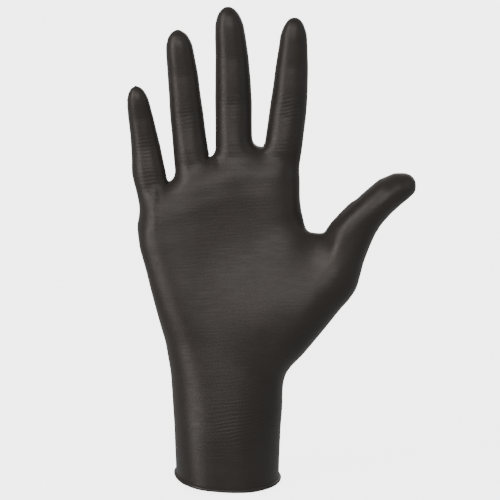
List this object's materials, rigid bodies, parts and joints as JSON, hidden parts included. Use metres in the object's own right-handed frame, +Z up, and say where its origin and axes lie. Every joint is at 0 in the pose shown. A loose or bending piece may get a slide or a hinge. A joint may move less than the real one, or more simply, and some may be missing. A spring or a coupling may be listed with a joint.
{
  "type": "disposable glove",
  "caption": "Thin dipped nitrile glove in its worn shape, palm forward and thumb out, with an open cuff and rolled bead; every finger, the thumb and the wrist bend.",
  "frame": {"origin": "centre of the cuff's opening, where the wearer's wrist goes in", "axes": "+Z up the forearm to the middle fingertip, -Y the way the palm faces, +X to the thumb's side"},
  "size_m": [0.1418, 0.0493, 0.2428],
  "materials": {
    "film_nitrile": "satin",
    "bead_nitrile": "satin"
  },
  "bodies": {
    "cuff": {"cuff_sleeve": "film_nitrile", "cuff_bead": "bead_nitrile", "wrist_palm_fold": "film_nitrile", "wrist_back_fold": "film_nitrile"},
    "palm": {"palm_shell": "film_nitrile", "thumb_base_crease": "film_nitrile", "thumb_base_back": "film_nitrile", "index_knuckle_crease": "film_nitrile", "index_knuckle_back": "film_nitrile", "middle_knuckle_crease": "film_nitrile", "middle_knuckle_back": "film_nitrile", "ring_knuckle_crease": "film_nitrile", "ring_knuckle_back": "film_nitrile", "little_knuckle_crease": "film_nitrile", "little_knuckle_back": "film_nitrile"},
    "thumb_base": {"thumb_base_shell": "film_nitrile", "thumb_knuckle_crease": "film_nitrile", "thumb_knuckle_back": "film_nitrile", "thumb_web_fold": "film_nitrile"},
    "thumb_root": {"thumb_root_stall": "film_nitrile", "thumb_tip_crease": "film_nitrile", "thumb_tip_back": "film_nitrile"},
    "thumb_tip": {"thumb_tip_stall": "film_nitrile"},
    "index_root": {"index_root_stall": "film_nitrile", "index_middle_crease": "film_nitrile"},
    "index_middle": {"index_middle_stall": "film_nitrile", "index_tip_crease": "film_nitrile"},
    "index_tip": {"index_tip_stall": "film_nitrile"},
    "middle_root": {"middle_root_stall": "film_nitrile", "middle_middle_crease": "film_nitrile"},
    "middle_middle": {"middle_middle_stall": "film_nitrile", "middle_tip_crease": "film_nitrile"},
    "middle_tip": {"middle_tip_stall": "film_nitrile"},
    "ring_root": {"ring_root_stall": "film_nitrile", "ring_middle_crease": "film_nitrile"},
    "ring_middle": {"ring_middle_stall": "film_nitrile", "ring_tip_crease": "film_nitrile"},
    "ring_tip": {"ring_tip_stall": "film_nitrile"},
    "little_root": {"little_root_stall": "film_nitrile", "little_middle_crease": "film_nitrile"},
    "little_middle": {"little_middle_stall": "film_nitrile", "little_tip_crease": "film_nitrile"},
    "little_tip": {"little_tip_stall": "film_nitrile"}
  },
  "joints": [
    {"name": "wrist_bend", "type": "hinge", "parent": "cuff", "child": "palm", "pos_m": [0, 0, 0.05], "axis": [1, 0, 0], "range_deg": [-45, 50], "stiffness_Nm_per_rad": 0.08, "deforming": ["wrist_palm_fold", "wrist_back_fold"]},
    {"name": "thumb_base_swing", "type": "hinge", "parent": "palm", "child": "thumb_base", "pos_m": [0.0345, -0.009, 0.0985], "axis": [0.0955, 0, 0.9954], "range_deg": [-38, 10], "stiffness_Nm_per_rad": 0.012, "deforming": ["thumb_base_crease", "thumb_base_back"]},
    {"name": "thumb_knuckle_bend", "type": "hinge", "parent": "thumb_base", "child": "thumb_root", "pos_m": [0.05681, -0.0138, 0.12144], "axis": [-0.3822, 0.9135, 0.1391], "range_deg": [-40, 10], "stiffness_Nm_per_rad": 0.006, "deforming": ["thumb_knuckle_crease", "thumb_knuckle_back", "thumb_web_fold"]},
    {"name": "thumb_tip_bend", "type": "hinge", "parent": "thumb_root", "child": "thumb_tip", "pos_m": [0.0633, -0.0152, 0.13492], "axis": [-0.3291, 0.9135, 0.2391], "range_deg": [-60, 15], "stiffness_Nm_per_rad": 0.003, "deforming": ["thumb_tip_crease", "thumb_tip_back"]},
    {"name": "index_knuckle_bend", "type": "hinge", "parent": "palm", "child": "index_root", "pos_m": [0.02821, -0.00229, 0.1705], "axis": [0.9918, 0, -0.1281], "range_deg": [-15, 72], "stiffness_Nm_per_rad": 0.005, "deforming": ["index_knuckle_crease", "index_knuckle_back"]},
    {"name": "index_middle_bend", "type": "hinge", "parent": "index_root", "child": "index_middle", "pos_m": [0.03075, -0.00292, 0.191], "axis": [0.9943, 0, -0.1065], "range_deg": [0, 82], "stiffness_Nm_per_rad": 0.003, "deforming": ["index_middle_crease"]},
    {"name": "index_tip_bend", "type": "hinge", "parent": "index_middle", "child": "index_tip", "pos_m": [0.03236, -0.00471, 0.211], "axis": [0.9981, 0, -0.0624], "range_deg": [0, 49.2], "stiffness_Nm_per_rad": 0.0015, "deforming": ["index_tip_crease"]},
    {"name": "middle_knuckle_bend", "type": "hinge", "parent": "palm", "child": "middle_root", "pos_m": [0.00353, -0.00222, 0.1705], "axis": [0.9998, 0, 0.0174], "range_deg": [-15, 72], "stiffness_Nm_per_rad": 0.005, "deforming": ["middle_knuckle_crease", "middle_knuckle_back"]},
    {"name": "middle_middle_bend", "type": "hinge", "parent": "middle_root", "child": "middle_middle", "pos_m": [0.00334, -0.00293, 0.193], "axis": [0.9998, 0, 0.0194], "range_deg": [0, 82], "stiffness_Nm_per_rad": 0.003, "deforming": ["middle_middle_crease"]},
    {"name": "middle_tip_bend", "type": "hinge", "parent": "middle_middle", "child": "middle_tip", "pos_m": [0.00264, -0.00485, 0.215], "axis": [0.9984, 0, 0.056], "range_deg": [0, 49.2], "stiffness_Nm_per_rad": 0.0015, "deforming": ["middle_tip_crease"]},
    {"name": "ring_knuckle_bend", "type": "hinge", "parent": "palm", "child": "ring_root", "pos_m": [-0.01779, -0.00211, 0.1665], "axis": [0.9961, 0, 0.0877], "range_deg": [-15, 72], "stiffness_Nm_per_rad": 0.005, "deforming": ["ring_knuckle_crease", "ring_knuckle_back"]},
    {"name": "ring_middle_bend", "type": "hinge", "parent": "ring_root", "child": "ring_middle", "pos_m": [-0.02, -0.00275, 0.187], "axis": [0.995, 0, 0.0995], "range_deg": [0, 82], "stiffness_Nm_per_rad": 0.003, "deforming": ["ring_middle_crease"]},
    {"name": "ring_tip_bend", "type": "hinge", "parent": "ring_middle", "child": "ring_tip", "pos_m": [-0.02176, -0.00472, 0.2065], "axis": [0.9946, 0, 0.1034], "range_deg": [0, 49.2], "stiffness_Nm_per_rad": 0.0015, "deforming": ["ring_tip_crease"]},
    {"name": "little_knuckle_bend", "type": "hinge", "parent": "palm", "child": "little_root", "pos_m": [-0.03812, -0.00191, 0.1555], "axis": [0.9872, 0, 0.1593], "range_deg": [-15, 72], "stiffness_Nm_per_rad": 0.005, "deforming": ["little_knuckle_crease", "little_knuckle_back"]},
    {"name": "little_middle_bend", "type": "hinge", "parent": "little_root", "child": "little_middle", "pos_m": [-0.04052, -0.00252, 0.171], "axis": [0.9881, 0, 0.1537], "range_deg": [0, 82], "stiffness_Nm_per_rad": 0.003, "deforming": ["little_middle_crease"]},
    {"name": "little_tip_bend", "type": "hinge", "parent": "little_middle", "child": "little_tip", "pos_m": [-0.04273, -0.00443, 0.185], "axis": [0.9868, 0, 0.1621], "range_deg": [0, 49.2], "stiffness_Nm_per_rad": 0.0015, "deforming": ["little_tip_crease"]}
  ],
  "couplings": [
    {"joint": "index_tip_bend", "follows": "index_middle_bend", "ratio": 0.6},
    {"joint": "middle_tip_bend", "follows": "middle_middle_bend", "ratio": 0.6},
    {"joint": "ring_tip_bend", "follows": "ring_middle_bend", "ratio": 0.6},
    {"joint": "little_tip_bend", "follows": "little_middle_bend", "ratio": 0.6}
  ]
}
